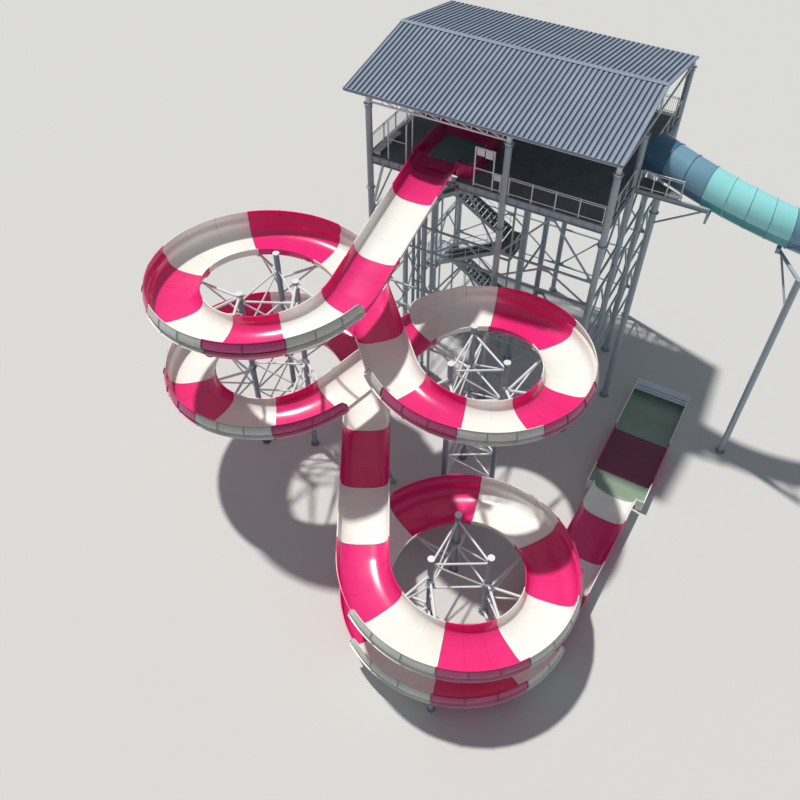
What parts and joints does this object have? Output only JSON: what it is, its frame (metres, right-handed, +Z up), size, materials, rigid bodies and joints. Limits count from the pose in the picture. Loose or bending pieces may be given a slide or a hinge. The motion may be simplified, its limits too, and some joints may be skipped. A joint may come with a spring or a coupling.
{
  "type": "water slide tower",
  "caption": "Roofed steel launch tower with an open raft slide that winds down through coils to a run-out lane, and the first bays of a closed tube slide.",
  "frame": {"origin": "on the ground, under the middle of the front left column of the tower", "axes": "+X along the tower front to the right, +Y away from the front towards the back, +Z up"},
  "size_m": [30.6659, 33.8254, 20.6468],
  "materials": {
    "gelcoat_magenta": "polished gelcoat on glass fibre",
    "gelcoat_white": "polished gelcoat on glass fibre",
    "steel": "satin paint",
    "roofing": "coated sheet",
    "grating": "galvanised, weathered",
    "tube_shell": "polished gelcoat on glass fibre"
  },
  "bodies": {
    "root": {"entry_chute": "gelcoat_white", "coil_1_front": "gelcoat_magenta", "coil_1_back": "gelcoat_white", "crossover_1": "gelcoat_magenta", "coil_2_front": "gelcoat_white", "coil_2_back": "gelcoat_magenta", "crossover_2": "gelcoat_white", "coil_3_front": "gelcoat_magenta", "coil_3_back": "gelcoat_white", "down_chute": "gelcoat_magenta", "coil_4_front": "gelcoat_white", "coil_4_back": "gelcoat_magenta", "coil_4_low_left": "gelcoat_white", "coil_4_low_right": "gelcoat_magenta", "exit_chute": "gelcoat_white", "high_wall_1": "gelcoat_magenta", "high_wall_2": "gelcoat_magenta", "high_wall_3": "gelcoat_magenta", "high_wall_4_upper": "gelcoat_magenta", "high_wall_4_lower": "gelcoat_magenta", "launch_tub": "gelcoat_magenta", "runout_lane": "gelcoat_white", "front_frame": "steel", "back_frame": "steel", "left_frame": "steel", "right_frame": "steel", "inner_frame": "steel", "deck": "grating", "roof_sheet_front": "roofing", "roof_sheet_back": "roofing", "ridge_cap": "roofing", "roof_frame": "steel", "railing_front": "steel", "railing_left": "steel", "railing_back_left": "steel", "railing_back_right": "steel", "railing_right": "steel", "railing_corner": "steel", "barrier_left": "steel", "barrier_right": "steel", "slatted_step": "gelcoat_white", "water_risers": "steel", "coil_mast_1": "steel", "coil_mast_2": "steel", "coil_mast_3": "steel", "chute_trestle": "steel", "exit_cradle": "steel", "stair_storey_1": "grating", "stair_storey_2": "grating", "stair_storey_3": "grating", "stair_frame": "steel", "tube_upper": "tube_shell", "tube_lower": "tube_shell", "tube_support": "steel", "balcony": "steel"}
  },
  "joints": []
}
